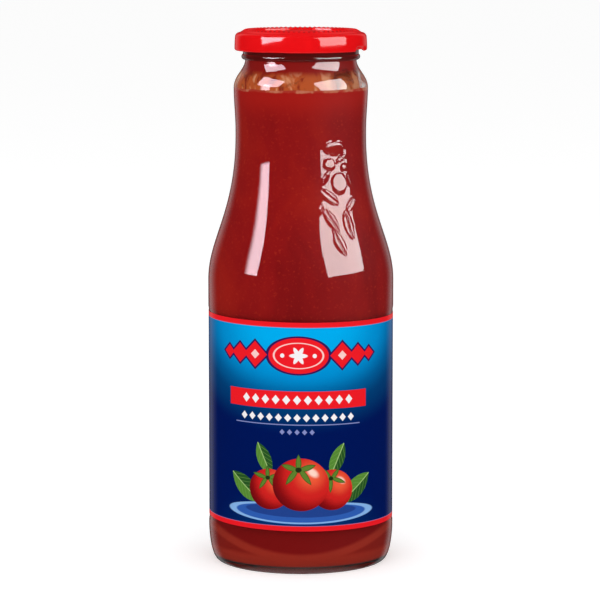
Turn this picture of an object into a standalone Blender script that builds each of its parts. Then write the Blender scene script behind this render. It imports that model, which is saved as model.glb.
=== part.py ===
"""Glass bottle of passata: turned glass, tomato fill, twist-off lid and a wrapped label.

Metres, +Z up. The origin is the centre of the foot, and the front of the label faces -Y.
"""

import math

import bmesh
import bpy
from mathutils import Matrix, Vector
from mathutils.geometry import interpolate_bezier

MM = 0.001

# Driving sizes of the whole bottle
HEIGHT = 230.0 * MM
BODY_R = 40.0 * MM
WAIST_R = 28.05 * MM
COLLAR_R = 28.8 * MM
FINISH_R = 24.8 * MM
MOUTH_R = 22.2 * MM
LID_R = 28.4 * MM

# Foot and heel
FOOT_INNER_R = 33.0 * MM
FOOT_OUTER_R = 36.0 * MM
HEEL_HEIGHT = 16.0 * MM
PUSH_UP = 3.2 * MM

# Heights along the glass
SHOULDER_LOW = 122.3 * MM
SHOULDER_HIGH = 185.1 * MM
SHOULDER_LOW_PULL = 18.0 * MM
SHOULDER_HIGH_PULL = 33.8 * MM
WAIST_HEIGHT = 2.0 * MM
COLLAR_TOP = 205.6 * MM
COLLAR_PULL = 5.4 * MM
NECK_TOP = 217.1 * MM
NECK_R = 24.15 * MM
BEAD_Z = 218.3 * MM
BEAD_R = 1.3 * MM
MOUTH_Z = 228.0 * MM
LIP_R = 0.7 * MM

# Glass wall
BODY_WALL = 2.3 * MM
NECK_WALL = 2.5 * MM
FLOOR_Z = 2.8 * MM
FLOOR_RISE = 3.6 * MM
FLOOR_CORNER_R = 7.0 * MM

# Label, and the shallow panel of the glass that it lies in
LABEL_LOW = 19.3 * MM
LABEL_HIGH = 108.6 * MM
LABEL_R = 40.0 * MM
LABEL_THICK = 0.25 * MM
LABEL_BACK_GAP_DEG = 0.8
PANEL_MARGIN = 1.1 * MM
PANEL_SLOPE = 1.2 * MM

# Fill
FILL_Z = 204.5 * MM
MENISCUS = 0.6 * MM
MENISCUS_R = 2.4 * MM

# Lid
LID_LOW = 220.9 * MM
LID_WALL = 0.5 * MM
CURL_R = 0.9 * MM
CORNER_R = 2.0 * MM
CORNER_Z = 226.6 * MM
CREST_R = 23.5 * MM
CREST_HALF_WIDTH = 1.2 * MM
PANEL_R = 21.6 * MM
PANEL_Z = 228.9 * MM
BUTTON_R = 9.0 * MM
BUTTON_RISE = 0.7 * MM
LUG_COUNT = 4
LUG_DEG = 67.0
LUG_HALF_DEG = 12.0
LUG_PUSH_IN = 0.7 * MM
LUG_LIFT = 0.8 * MM
LUG_FADE_Z = 223.4 * MM

# Gap that touching pieces keep, and the fineness of the turned pieces
GAP = 0.3 * MM
SEGMENTS = 48
SHOULDER_STEPS = 11
SHARP_DEG = 35.0


def arc(centre, radii, start_deg, end_deg, steps):
    """Points on an ellipse in the (radius, height) plane."""
    points = []
    for i in range(steps + 1):
        angle = math.radians(start_deg + (end_deg - start_deg) * i / steps)
        radius = centre[0] + radii[0] * math.cos(angle)
        height = centre[1] + radii[1] * math.sin(angle)
        points.append((radius, height))
    return points


def ogee(start, end, start_pull, end_pull, steps):
    """An S-curve between two (radius, height) points that leaves and arrives upright."""
    knots = (
        Vector(start),
        Vector((start[0], start[1] + start_pull)),
        Vector((end[0], end[1] - end_pull)),
        Vector(end),
    )
    return [tuple(point) for point in interpolate_bezier(*knots, steps + 1)]


def dome(centre_z, rim_r, rim_z, steps):
    """Points of a shallow dome from its centre to a rim, without the rim point."""
    points = []
    for i in range(steps):
        share = i / steps
        points.append((rim_r * share, centre_z + (rim_z - centre_z) * share * share))
    return points


def turned_mesh(name, profile):
    """A closed body turned about the Z axis from a profile that starts and ends on the axis."""
    shape = bmesh.new()
    verts = [shape.verts.new((radius, 0.0, height)) for radius, height in profile]
    edges = [shape.edges.new(pair) for pair in zip(verts, verts[1:])]
    bmesh.ops.spin(shape, geom=verts + edges, cent=(0, 0, 0), axis=(0, 0, 1),
                   angle=math.tau, steps=SEGMENTS, use_merge=True)
    bmesh.ops.remove_doubles(shape, verts=shape.verts, dist=0.001 * MM)
    bmesh.ops.recalc_face_normals(shape, faces=shape.faces)
    mesh = bpy.data.meshes.new(name)
    shape.to_mesh(mesh)
    shape.free()
    return mesh


def material(name, colour, roughness, metallic=0.0, transmission=0.0):
    """A Principled material."""
    result = bpy.data.materials.new(name)
    result.use_nodes = True
    shader = result.node_tree.nodes["Principled BSDF"]
    shader.inputs["Base Color"].default_value = (*colour, 1.0)
    shader.inputs["Roughness"].default_value = roughness
    shader.inputs["Metallic"].default_value = metallic
    shader.inputs["Transmission Weight"].default_value = transmission
    return result


def place(name, mesh, finish, carrier):
    """Puts a named object in the scene, smooth but for its sharp edges."""
    mesh.shade_smooth()
    mesh.set_sharp_from_angle(angle=math.radians(SHARP_DEG))
    mesh.materials.append(finish)
    item = bpy.data.objects.new(name, mesh)
    bpy.context.collection.objects.link(item)
    item.parent = carrier
    return item


def inner_wall(inset):
    """The glass's inner wall from the floor's centre up to the collar, moved inward by inset."""
    body_r = BODY_R - BODY_WALL
    neck_r = WAIST_R - NECK_WALL
    corner = (body_r - FLOOR_CORNER_R, FLOOR_Z + FLOOR_CORNER_R)
    corner_radii = (FLOOR_CORNER_R - inset, FLOOR_CORNER_R - inset)
    profile = dome(FLOOR_Z + FLOOR_RISE + inset, corner[0], FLOOR_Z + inset, 3)
    profile += arc(corner, corner_radii, -90, 0, 4)
    profile += ogee((body_r - inset, SHOULDER_LOW), (neck_r - inset, SHOULDER_HIGH),
                    SHOULDER_LOW_PULL, SHOULDER_HIGH_PULL, SHOULDER_STEPS)
    return profile


def glass_profile():
    """The bottle's wall, up its outer side, over the mouth and down its inner side."""
    panel_r = LABEL_R - LABEL_THICK - GAP
    panel_low = LABEL_LOW - PANEL_MARGIN
    panel_high = LABEL_HIGH + PANEL_MARGIN
    profile = dome(PUSH_UP, FOOT_INNER_R, 0.0, 3)
    profile.append((FOOT_INNER_R, 0.0))
    profile += arc((FOOT_OUTER_R, HEEL_HEIGHT), (BODY_R - FOOT_OUTER_R, HEEL_HEIGHT), -90, 0, 6)
    profile.append((BODY_R, panel_low - PANEL_SLOPE))
    profile.append((panel_r, panel_low))
    profile.append((panel_r, panel_high))
    profile.append((BODY_R, panel_high + PANEL_SLOPE))
    profile += ogee((BODY_R, SHOULDER_LOW), (WAIST_R, SHOULDER_HIGH),
                    SHOULDER_LOW_PULL, SHOULDER_HIGH_PULL, SHOULDER_STEPS)
    profile += ogee((WAIST_R, SHOULDER_HIGH + WAIST_HEIGHT), (COLLAR_R, COLLAR_TOP),
                    COLLAR_PULL, COLLAR_PULL, 4)
    profile += ogee((COLLAR_R, COLLAR_TOP), (NECK_R, NECK_TOP), COLLAR_PULL, COLLAR_PULL, 6)[1:]
    profile += arc((NECK_R, BEAD_Z), (BEAD_R, BEAD_R), -60, 60, 4)
    profile.append((FINISH_R, BEAD_Z + BEAD_R))
    profile += arc((FINISH_R - LIP_R, MOUTH_Z - LIP_R), (LIP_R, LIP_R), 0, 90, 2)
    profile += arc((MOUTH_R + LIP_R, MOUTH_Z - LIP_R), (LIP_R, LIP_R), 90, 180, 2)
    neck_inner_r = WAIST_R - NECK_WALL
    bore = ogee((neck_inner_r, COLLAR_TOP), (MOUTH_R, NECK_TOP), COLLAR_PULL, COLLAR_PULL, 4)
    profile += reversed(bore)
    profile += reversed(inner_wall(0.0))
    return profile


def fill_profile():
    """The tomato fill, a gap clear of the wall, with a slightly raised edge at its top."""
    profile = inner_wall(GAP)
    edge_r = profile[-1][0]
    profile.append((edge_r, FILL_Z + MENISCUS))
    profile += arc((edge_r, FILL_Z + MENISCUS), (MENISCUS_R, MENISCUS), 210, 270, 3)
    profile.append((0.0, FILL_Z))
    return profile


def crest(height, half_width, foot_z, steps):
    """The lid's raised ring, from its outer foot over the top to its inner foot."""
    return arc((CREST_R, foot_z), (half_width, height - foot_z), 0, 180, steps)


def lid_profile():
    """The pressed lid's sheet, from its button over crest and skirt, round the curl and back."""
    outer = dome(PANEL_Z + BUTTON_RISE, BUTTON_R, PANEL_Z, 3)
    outer.append((BUTTON_R, PANEL_Z))
    outer.append((PANEL_R, PANEL_Z))
    outer += reversed(crest(HEIGHT, CREST_HALF_WIDTH, PANEL_Z, 6))
    outer += reversed(arc((LID_R - CORNER_R, CORNER_Z), (CORNER_R, CORNER_R), 0, 80, 4))
    curl = arc((LID_R - CURL_R, LID_LOW + CURL_R), (CURL_R, CURL_R), 0, -180, 6)
    under = [(LID_R - LID_WALL, curl[-1][1] + CURL_R)]
    under.append((LID_R - LID_WALL, CORNER_Z))
    under.append((LID_R - CORNER_R, CORNER_Z + CORNER_R - LID_WALL))
    under += crest(HEIGHT - LID_WALL, CREST_HALF_WIDTH - LID_WALL / 2, PANEL_Z - LID_WALL, 4)
    under.append((PANEL_R - LID_WALL, PANEL_Z - LID_WALL))
    under += reversed(dome(PANEL_Z + BUTTON_RISE - LID_WALL, BUTTON_R, PANEL_Z - LID_WALL, 2))
    return outer + curl + under


def press_lugs(mesh):
    """Folds the curl inward and upward at each lug, as the press does."""
    pitch = 360.0 / LUG_COUNT
    for vert in mesh.vertices:
        radius = math.hypot(vert.co.x, vert.co.y)
        depth = (LUG_FADE_Z - vert.co.z) / (LUG_FADE_Z - LID_LOW)
        if depth <= 0.0 or radius < FINISH_R:
            continue
        azimuth = math.degrees(math.atan2(vert.co.x, -vert.co.y))
        offset = (azimuth - LUG_DEG + pitch / 2) % pitch - pitch / 2
        press = depth * max(0.0, 1.0 - (offset / LUG_HALF_DEG) ** 2)
        scale = (radius - LUG_PUSH_IN * press) / radius
        vert.co = (vert.co.x * scale, vert.co.y * scale, vert.co.z + LUG_LIFT * press)


def label_mesh(name):
    """The paper wrap: a thin rectangle swept round the bottle, open by a hair at the back."""
    shape = bmesh.new()
    inner_r = LABEL_R - LABEL_THICK
    corners = ((inner_r, LABEL_LOW), (LABEL_R, LABEL_LOW), (LABEL_R, LABEL_HIGH), (inner_r, LABEL_HIGH))
    verts = [shape.verts.new((radius, 0.0, height)) for radius, height in corners]
    face = shape.faces.new(verts)
    half_gap = math.radians(LABEL_BACK_GAP_DEG / 2)
    start = Matrix.Rotation(math.pi / 2 + half_gap, 4, "Z")
    bmesh.ops.transform(shape, matrix=start, verts=verts)
    bmesh.ops.spin(shape, geom=[face] + list(face.edges) + verts, cent=(0, 0, 0), axis=(0, 0, 1),
                   angle=math.tau - 2 * half_gap, steps=SEGMENTS)
    bmesh.ops.recalc_face_normals(shape, faces=shape.faces)
    mesh = bpy.data.meshes.new(name)
    shape.to_mesh(mesh)
    shape.free()
    return mesh


def clear_scene():
    """Removes whatever the scene holds."""
    for item in list(bpy.data.objects):
        bpy.data.objects.remove(item)


def main():
    clear_scene()
    stand = bpy.data.objects.new("passata_bottle", None)
    bpy.context.collection.objects.link(stand)

    clear_glass = material("clear_glass", (0.90, 0.96, 0.93), 0.03, transmission=1.0)
    tomato = material("tomato_passata", (0.36, 0.012, 0.008), 0.35)
    red_lacquer = material("red_lacquer", (0.80, 0.012, 0.014), 0.18)
    blue_print = material("blue_printed_paper", (0.0, 0.05, 0.28), 0.4)

    place("bottle_glass", turned_mesh("bottle_glass", glass_profile()), clear_glass, stand)
    place("passata", turned_mesh("passata", fill_profile()), tomato, stand)
    lid_mesh = turned_mesh("lid", lid_profile())
    press_lugs(lid_mesh)
    place("lid", lid_mesh, red_lacquer, stand)
    place("label", label_mesh("label"), blue_print, stand)


main()
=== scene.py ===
"""Looks of a shut glass bottle of passata.

Clear glass with a low relief, the tomato fill, the smear above it, a lacquered lid and a printed label.
Metres, +Z up, the front of the label faces -Y. An azimuth is an angle round the axis, from the front
towards +X. A profile is a list of (radius, height) points, and the print is drawn in millimetres.
"""

import math

import bmesh
import bpy
import numpy as np
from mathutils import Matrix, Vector, noise
from mathutils.geometry import interpolate_bezier


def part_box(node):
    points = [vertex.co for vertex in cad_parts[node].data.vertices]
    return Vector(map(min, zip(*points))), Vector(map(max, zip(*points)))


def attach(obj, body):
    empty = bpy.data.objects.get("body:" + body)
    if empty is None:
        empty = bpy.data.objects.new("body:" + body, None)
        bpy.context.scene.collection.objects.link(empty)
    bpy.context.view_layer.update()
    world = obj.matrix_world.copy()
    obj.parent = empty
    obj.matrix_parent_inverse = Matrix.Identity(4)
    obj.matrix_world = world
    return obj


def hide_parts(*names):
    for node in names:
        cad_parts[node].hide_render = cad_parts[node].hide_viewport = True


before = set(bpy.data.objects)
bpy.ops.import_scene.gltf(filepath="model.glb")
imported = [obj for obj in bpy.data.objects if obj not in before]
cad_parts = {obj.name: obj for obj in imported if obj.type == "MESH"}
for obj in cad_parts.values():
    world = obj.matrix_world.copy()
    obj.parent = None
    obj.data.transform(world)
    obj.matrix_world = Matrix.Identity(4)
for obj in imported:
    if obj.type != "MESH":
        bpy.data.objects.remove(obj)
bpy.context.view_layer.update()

MM = 0.001

# Sizes read from the CAD parts in model.glb
BODY_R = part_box("bottle_glass")[1][0]
MOUTH_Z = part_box("bottle_glass")[1][2]
LID_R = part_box("lid")[1][0]
LID_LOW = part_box("lid")[0][2]
LID_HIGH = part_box("lid")[1][2]
LABEL_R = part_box("label")[1][0]
LABEL_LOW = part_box("label")[0][2]
LABEL_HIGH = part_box("label")[1][2]
FILL_EDGE_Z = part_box("passata")[1][2]

# The glass, as the CAD has it
UNDERSIDE_R = 32.0 * MM
UNDERSIDE_RIM_Z = 0.25 * MM
FOOT_EDGE = (33.4 * MM, 1.0 * MM)
FOOT_EDGE_RADII = (1.4 * MM, 1.0 * MM)
FOOT_EDGE_START_DEG = -148
FOOT_OUTER_R = 36.0 * MM
HEEL_HEIGHT = 16.0 * MM
PUSH_UP = 3.2 * MM
SHOULDER_LOW = 122.3 * MM
SHOULDER_HIGH = 185.1 * MM
SHOULDER_LOW_PULL = 18.0 * MM
SHOULDER_HIGH_PULL = 33.8 * MM
WAIST_R = 28.05 * MM
WAIST_HEIGHT = 2.0 * MM
COLLAR_R = 28.8 * MM
COLLAR_TOP = 205.6 * MM
COLLAR_PULL = 5.4 * MM
NECK_R = 24.15 * MM
NECK_TOP = 217.1 * MM
BEAD_Z = 218.3 * MM
BEAD_R = 1.3 * MM
BEAD_END_DEG = 60
FINISH_R = 24.8 * MM
MOUTH_R = 22.2 * MM
LIP_R = 0.7 * MM
BODY_WALL = 2.3 * MM
NECK_WALL = 2.5 * MM
FLOOR_Z = 2.8 * MM
FLOOR_RISE = 3.6 * MM
FLOOR_CORNER_R = 7.0 * MM
PANEL_DEPTH = 0.22 * MM
PANEL_MARGIN = 1.1 * MM
PANEL_SLOPE = 1.2 * MM

# The outside of the neck, a little off the CAD's, as its highlights show
NECK_CURVE_LOW = 204.9 * MM
NECK_CURVE_HIGH = 216.9 * MM
NECK_CURVE_R = 23.85 * MM
NECK_LOW_PULL = 5.3 * MM
NECK_HIGH_PULL = 4.3 * MM
NECK_LEAN = 0.15 * MM

# How finely the glass is turned, as rows along each stretch of its wall
FLOOR_ROWS = 8
FLOOR_CORNER_ROWS = 9
FOOT_ROWS = 4
HEEL_ROWS = 18
SHOULDER_ROWS = 160
SHOULDER_INNER_ROWS = 40
COLLAR_ROWS = 24
BORE_ROWS = 12
BEAD_ROWS = 12
LIP_ROWS = 4
SHARP_DEG = 40.0


def arc(centre, radii, start_deg, end_deg, steps):
    """Points on an ellipse in the (radius, height) plane."""
    points = []
    for i in range(steps + 1):
        angle = math.radians(start_deg + (end_deg - start_deg) * i / steps)
        points.append((centre[0] + radii[0] * math.cos(angle), centre[1] + radii[1] * math.sin(angle)))
    return points


def ogee(start, end, start_pull, end_pull, steps, end_lean=0.0):
    """An S-curve between two profile points that leaves upright and arrives upright, or with a lean."""
    knots = (
        Vector(start),
        Vector((start[0], start[1] + start_pull)),
        Vector((end[0] + end_lean, end[1] - end_pull)),
        Vector(end),
    )
    return [tuple(point) for point in interpolate_bezier(*knots, steps + 1)]


def dome(centre_z, rim_r, rim_z, steps):
    """Points of a shallow dome from its centre to a rim, without the rim point."""
    return [(rim_r * i / steps, centre_z + (rim_z - centre_z) * (i / steps) ** 2) for i in range(steps)]


def straight(start, end, steps):
    """Points on a line, without its first."""
    return [
        (start[0] + (end[0] - start[0]) * i / steps, start[1] + (end[1] - start[1]) * i / steps)
        for i in range(1, steps + 1)
    ]


def even_turn(count):
    """Azimuths evenly spaced round the axis."""
    return [math.tau * i / count for i in range(count)]


def turned(name, profile, azimuths, shape):
    """A closed body turned about the axis, from a profile that starts and ends on it.

    shape(azimuth, radius, height, index) returns the (radius, height) that a point of it gets.
    """
    rings = profile[1:-1]
    count = len(azimuths)
    verts = []
    for index, point in enumerate(rings):
        for azimuth in azimuths:
            radius, height = shape(azimuth, point[0], point[1], index)
            verts.append((radius * math.sin(azimuth), -radius * math.cos(azimuth), height))
    first_pole = len(verts)
    verts.append((0.0, 0.0, profile[0][1]))
    verts.append((0.0, 0.0, profile[-1][1]))
    faces = []
    for ring in range(len(rings) - 1):
        for i in range(count):
            j = (i + 1) % count
            low, high = ring * count, (ring + 1) * count
            faces.append((low + i, low + j, high + j, high + i))
    last = (len(rings) - 1) * count
    for i in range(count):
        j = (i + 1) % count
        faces.append((first_pole, j, i))
        faces.append((last + i, last + j, first_pole + 1))
    return piece_from(name, verts, faces)


def piece_from(name, verts, faces):
    """A smooth-shaded mesh object whose sharp corners stay sharp."""
    mesh = bpy.data.meshes.new(name)
    mesh.from_pydata(verts, [], faces)
    mesh.validate()
    mesh.shade_smooth()
    mesh.set_sharp_from_angle(angle=math.radians(SHARP_DEG))
    item = bpy.data.objects.new(name, mesh)
    bpy.context.scene.collection.objects.link(item)
    return item


def finish_piece(item, material, replaces=None):
    """Dresses a piece, ties it to the bottle's one body and hides the CAD node that it stands for, if any.
    """
    item.data.materials.append(material)
    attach(item, "root")
    if replaces:
        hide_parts(replaces)
    return item


# The relief on the shoulder, front and back: a sprig on a soft mound, in millimetres from its middle
RELIEF_AZIMUTHS = (31.0, 211.0)
RELIEF_HALF_DEG = 20.0
RELIEF_Z = 160.5 * MM
RELIEF_HEIGHT = 0.85 * MM
RELIEF_EDGE = 0.6
RELIEF_RIB = 0.42
GROOVE_DEPTH = 0.6
LEAF_PILLOW = 0.28
LEAF_TAPER = 0.75
FRUIT_PILLOW = 0.18
MOUND_HEIGHT = 0.6 * MM
MOUND_UP = 6.5
MOUND_HALF_UP = 16.0
MOUND_HALF_ACROSS = 9.8
MOUND_SIDE = 2.6
FINE_STEP_DEG = 0.55
COARSE_STEP_DEG = 2.4

# Leaves as across, up, length, width and lean in degrees
SPRIG_LEAVES = (
    (3.0, 16.6, 8.6, 2.6, 32.0),
    (-5.2, 8.0, 7.0, 2.4, 60.0),
    (6.0, 6.6, 7.4, 2.6, 108.0),
    (-4.4, 0.2, 11.0, 4.6, 140.0),
    (5.8, -3.4, 8.6, 3.8, 50.0),
    (-4.6, -9.6, 11.6, 4.8, 118.0),
    (3.2, -11.8, 12.8, 5.2, 98.0),
    (-2.6, -19.0, 12.0, 5.0, 112.0),
    (-8.2, -4.6, 5.0, 2.0, 80.0),
)
# Fruits as across, up and the two half-widths
SPRIG_FRUITS = (
    (-0.4, 20.4, 5.4, 2.8),
    (-3.2, 13.6, 2.9, 2.6),
    (3.6, 12.2, 1.9, 1.8),
    (0.8, 5.6, 3.9, 4.6),
)


def smooth(share):
    """0 below 0, 1 above 1, and a smooth step between."""
    share = min(1.0, max(0.0, share))
    return share * share * (3.0 - 2.0 * share)


def leaf_height(across, up, leaf):
    """Height of one embossed leaf at a point, from 0 to 1: a pillow with a groove along its rib."""
    leaf_across, leaf_up, length, width, lean_deg = leaf
    lean = math.radians(lean_deg)
    dx, dy = across - leaf_across, up - leaf_up
    along = dx * math.cos(lean) + dy * math.sin(lean)
    beside = dy * math.cos(lean) - dx * math.sin(lean)
    half_length = length / 2
    if abs(along) >= half_length:
        return 0.0
    half_width = width / 2 * (1.0 - (along / half_length) ** 2) ** LEAF_TAPER
    margin = half_width - abs(beside)
    if margin <= 0.0:
        return 0.0
    pillow = 1.0 - LEAF_PILLOW * (beside / half_width) ** 2
    groove = GROOVE_DEPTH * math.exp(-((beside / RELIEF_RIB) ** 2))
    return smooth(margin / RELIEF_EDGE) * (pillow - groove)


def fruit_height(across, up, fruit):
    """Height of one embossed round fruit at a point, from 0 to 1."""
    fruit_across, fruit_up, half_across, half_up = fruit
    reach = math.hypot((across - fruit_across) / half_across, (up - fruit_up) / half_up)
    if reach >= 1.0:
        return 0.0
    margin = (1.0 - reach) * min(half_across, half_up)
    return smooth(margin / RELIEF_EDGE) * (1.0 - FRUIT_PILLOW * reach * reach)


def relief(azimuth, radius, height):
    """How far the glass stands out at a point of the shoulder, in metres."""
    for middle in RELIEF_AZIMUTHS:
        turn = (math.degrees(azimuth) - middle + 180.0) % 360.0 - 180.0
        if abs(turn) > RELIEF_HALF_DEG:
            continue
        across = math.radians(turn) * radius / MM
        up = (height - RELIEF_Z) / MM
        tops = [leaf_height(across, up, leaf) for leaf in SPRIG_LEAVES]
        tops += [fruit_height(across, up, fruit) for fruit in SPRIG_FRUITS]
        swell = max(0.0, 1.0 - ((up - MOUND_UP) / MOUND_HALF_UP) ** 2) ** 2
        swell *= smooth((MOUND_HALF_ACROSS - abs(across)) / MOUND_SIDE)
        return RELIEF_HEIGHT * max(tops) + MOUND_HEIGHT * swell
    return 0.0


def glass_azimuths():
    """Azimuths of the glass's columns, close together where the relief is."""
    span = 360.0 / len(RELIEF_AZIMUTHS) - 2 * RELIEF_HALF_DEG
    fine = round(2 * RELIEF_HALF_DEG / FINE_STEP_DEG)
    coarse = round(span / COARSE_STEP_DEG)
    found = []
    for middle in RELIEF_AZIMUTHS:
        found += [middle - RELIEF_HALF_DEG + i * FINE_STEP_DEG for i in range(fine)]
        found += [middle + RELIEF_HALF_DEG + i * span / coarse for i in range(coarse)]
    return [math.radians(angle) for angle in found]


def inner_wall(inset, steps):
    """The glass's inner wall from the floor's centre up to the waist, moved inward by inset."""
    body_r = BODY_R - BODY_WALL
    neck_r = WAIST_R - NECK_WALL
    corner = (body_r - FLOOR_CORNER_R, FLOOR_Z + FLOOR_CORNER_R)
    corner_r = FLOOR_CORNER_R - inset
    profile = dome(FLOOR_Z + FLOOR_RISE + inset, corner[0], FLOOR_Z + inset, FLOOR_ROWS)
    profile += arc(corner, (corner_r, corner_r), -90, 0, FLOOR_CORNER_ROWS)
    profile += ogee((body_r - inset, SHOULDER_LOW), (neck_r - inset, SHOULDER_HIGH),
                    SHOULDER_LOW_PULL, SHOULDER_HIGH_PULL, steps)
    return profile


def bore_profile():
    """The inner wall of the neck, from the collar up to the mouth."""
    return ogee((WAIST_R - NECK_WALL, COLLAR_TOP), (MOUTH_R, NECK_TOP),
                COLLAR_PULL, COLLAR_PULL, BORE_ROWS)


def glass_profile():
    """The bottle's wall, up its outer side, over the mouth and down its inner side."""
    panel_r = BODY_R - PANEL_DEPTH
    low = LABEL_LOW - PANEL_MARGIN
    high = LABEL_HIGH + PANEL_MARGIN
    heel_radii = (BODY_R - FOOT_OUTER_R, HEEL_HEIGHT)
    lip_z = MOUTH_Z - LIP_R
    profile = dome(PUSH_UP, UNDERSIDE_R, UNDERSIDE_RIM_Z, FLOOR_ROWS)
    profile += arc(FOOT_EDGE, FOOT_EDGE_RADII, FOOT_EDGE_START_DEG, -90, FOOT_ROWS)
    profile += arc((FOOT_OUTER_R, HEEL_HEIGHT), heel_radii, -90, 0, HEEL_ROWS)
    profile += [(BODY_R, low - PANEL_SLOPE), (panel_r, low), (panel_r, high)]
    profile += [(BODY_R, high + PANEL_SLOPE)]
    profile += ogee((BODY_R, SHOULDER_LOW), (WAIST_R, SHOULDER_HIGH),
                    SHOULDER_LOW_PULL, SHOULDER_HIGH_PULL, SHOULDER_ROWS)
    profile += ogee((WAIST_R, SHOULDER_HIGH + WAIST_HEIGHT), (COLLAR_R, NECK_CURVE_LOW),
                    COLLAR_PULL, COLLAR_PULL, COLLAR_ROWS)
    profile += ogee((COLLAR_R, NECK_CURVE_LOW), (NECK_CURVE_R, NECK_CURVE_HIGH),
                    NECK_LOW_PULL, NECK_HIGH_PULL, COLLAR_ROWS, NECK_LEAN)[1:]
    profile += arc((NECK_R, BEAD_Z), (BEAD_R, BEAD_R), -90, BEAD_END_DEG, BEAD_ROWS)
    profile.append((FINISH_R, BEAD_Z + BEAD_R))
    profile += arc((FINISH_R - LIP_R, lip_z), (LIP_R, LIP_R), 0, 90, LIP_ROWS)
    profile += arc((MOUTH_R + LIP_R, lip_z), (LIP_R, LIP_R), 90, 180, LIP_ROWS)
    profile += reversed(bore_profile())
    profile += reversed(inner_wall(0.0, SHOULDER_INNER_ROWS))
    return profile


def make_glass(material):
    """The clear bottle with its relief."""
    profile = glass_profile()
    mouth = max(range(len(profile)), key=lambda i: profile[i][1])

    def emboss(azimuth, radius, height, index):
        if index < mouth and SHOULDER_LOW < height < COLLAR_TOP:
            radius += relief(azimuth, radius, height)
        return radius, height

    item = turned("glass_wall", profile, glass_azimuths(), emboss)
    return finish_piece(item, material, "bottle_glass")


# The fill, which reaches just into the wall
FILL_REACH = 0.08 * MM
MENISCUS = 0.6 * MM
MENISCUS_R = 2.4 * MM
FILL_Z = FILL_EDGE_Z - MENISCUS
FILL_UNEVEN = 0.45 * MM
FILL_LUMP = 6.0 * MM
FILL_EDGE_LUMPS = 4.0
FILL_COLUMNS = 160
FILL_SHOULDER_ROWS = 48
FILL_NECK_ROWS = 12
FILL_CALM_ROWS = 6
FILL_TOP_ROWS = 8


def make_fill(material):
    """The passata, with a slightly uneven top that rises at the glass."""
    profile = inner_wall(-FILL_REACH, FILL_SHOULDER_ROWS)
    edge_r = profile[-1][0]
    calm = len(profile) + FILL_CALM_ROWS
    profile += straight(profile[-1], (edge_r, FILL_EDGE_Z), FILL_NECK_ROWS)
    top = len(profile)
    profile += arc((edge_r, FILL_Z + MENISCUS), (MENISCUS_R, MENISCUS), 190, 270, 6)
    profile += straight(profile[-1], (0.0, FILL_Z), FILL_TOP_ROWS)

    def ripple(azimuth, radius, height, index):
        if index >= top - 1:
            spot = Vector((radius * math.sin(azimuth), radius * math.cos(azimuth), 0.0)) / FILL_LUMP
            height += FILL_UNEVEN * noise.noise(spot)
        elif index >= calm:
            spot = Vector((math.sin(azimuth), math.cos(azimuth), 0.3)) * FILL_EDGE_LUMPS
            height += FILL_UNEVEN * noise.noise(spot) * (index - calm + 1) / (top - calm)
        return radius, height

    item = turned("passata_body", profile, even_turn(FILL_COLUMNS), ripple)
    return finish_piece(item, material, "passata")


# The smear that the passata leaves on the glass above its level
SMEAR_LOW = FILL_Z - 0.8 * MM
SMEAR_HIGH = MOUTH_Z - 1.2 * MM
SMEAR_THICK = 0.16 * MM
SMEAR_DRIP = 0.30 * MM
SMEAR_LUMPS = 5.0
SMEAR_LUMP_HEIGHT = 9.0 * MM
SMEAR_COLUMNS = 180
SMEAR_ROWS = 48


def make_smear(material):
    """A thin uneven film on the inside of the neck, as a closed sleeve."""
    columns, rows = SMEAR_COLUMNS, SMEAR_ROWS
    bore_radii, bore_heights = zip(*bore_profile())
    levels = [SMEAR_LOW + (SMEAR_HIGH - SMEAR_LOW) * row / rows for row in range(rows + 1)]
    verts, faces = [], []
    for is_inner in (False, True):
        for height in levels:
            wall_r = float(np.interp(height, bore_heights, bore_radii)) + FILL_REACH / 2
            for azimuth in even_turn(columns):
                radius = wall_r
                if is_inner:
                    round_spot = (math.sin(azimuth) * SMEAR_LUMPS, math.cos(azimuth) * SMEAR_LUMPS)
                    spot = Vector((*round_spot, height / SMEAR_LUMP_HEIGHT))
                    lumps = max(0.0, noise.fractal(spot, 1.0, 2.0, 3))
                    radius -= SMEAR_THICK + SMEAR_DRIP * lumps
                verts.append((radius * math.sin(azimuth), -radius * math.cos(azimuth), height))
    layer = (rows + 1) * columns
    for row in range(rows):
        for i in range(columns):
            j = (i + 1) % columns
            a, b = row * columns + i, row * columns + j
            c, d = b + columns, a + columns
            faces.append((a, b, c, d))
            faces.append((layer + d, layer + c, layer + b, layer + a))
    for i in range(columns):
        j = (i + 1) % columns
        top = rows * columns
        faces.append((layer + i, layer + j, j, i))
        faces.append((top + i, top + j, layer + top + j, layer + top + i))
    item = piece_from("neck_smear", verts, faces)
    return finish_piece(item, material)


# The lid
LID_WALL = 0.3 * MM
CURL_R = 0.9 * MM
CURL_END_DEG = -220
SKIRT_DRAFT = 0.22 * MM
SKIRT_ROWS = 10
CORNER_R = 2.0 * MM
CORNER_Z = 226.6 * MM
CORNER_DEG = (5, 74)
SLOPE_ROWS = 12
CREST_R = 23.5 * MM
CREST_HALF_WIDTH = 1.2 * MM
LID_PANEL_R = 21.6 * MM
LID_PANEL_Z = 228.9 * MM
BUTTON_R = 9.0 * MM
BUTTON_RISE = 0.7 * MM
BUTTON_STEP = 0.1 * MM

# The ticks on the lid's raised ring and the lugs at its foot, of which the last hardly shows in the photo
TICKS = 70
TICK_COLUMNS = 4
TICK_DEEP = 0.3 * MM
TICK_LOW = 229.3 * MM
LUG_COUNT = 4
LUG_DEG = 67.0
LUG_HALF_DEG = 12.0
LUG_PUSH_IN = 0.7 * MM
LUG_LIFT = 0.8 * MM
LUG_SHARES = (1.0, 0.7, 0.7, 0.1)
LUG_FADE_Z = 223.4 * MM
LUG_STEEP_UP = 1.6
LUG_STEEP_ROUND = 2.6


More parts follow.
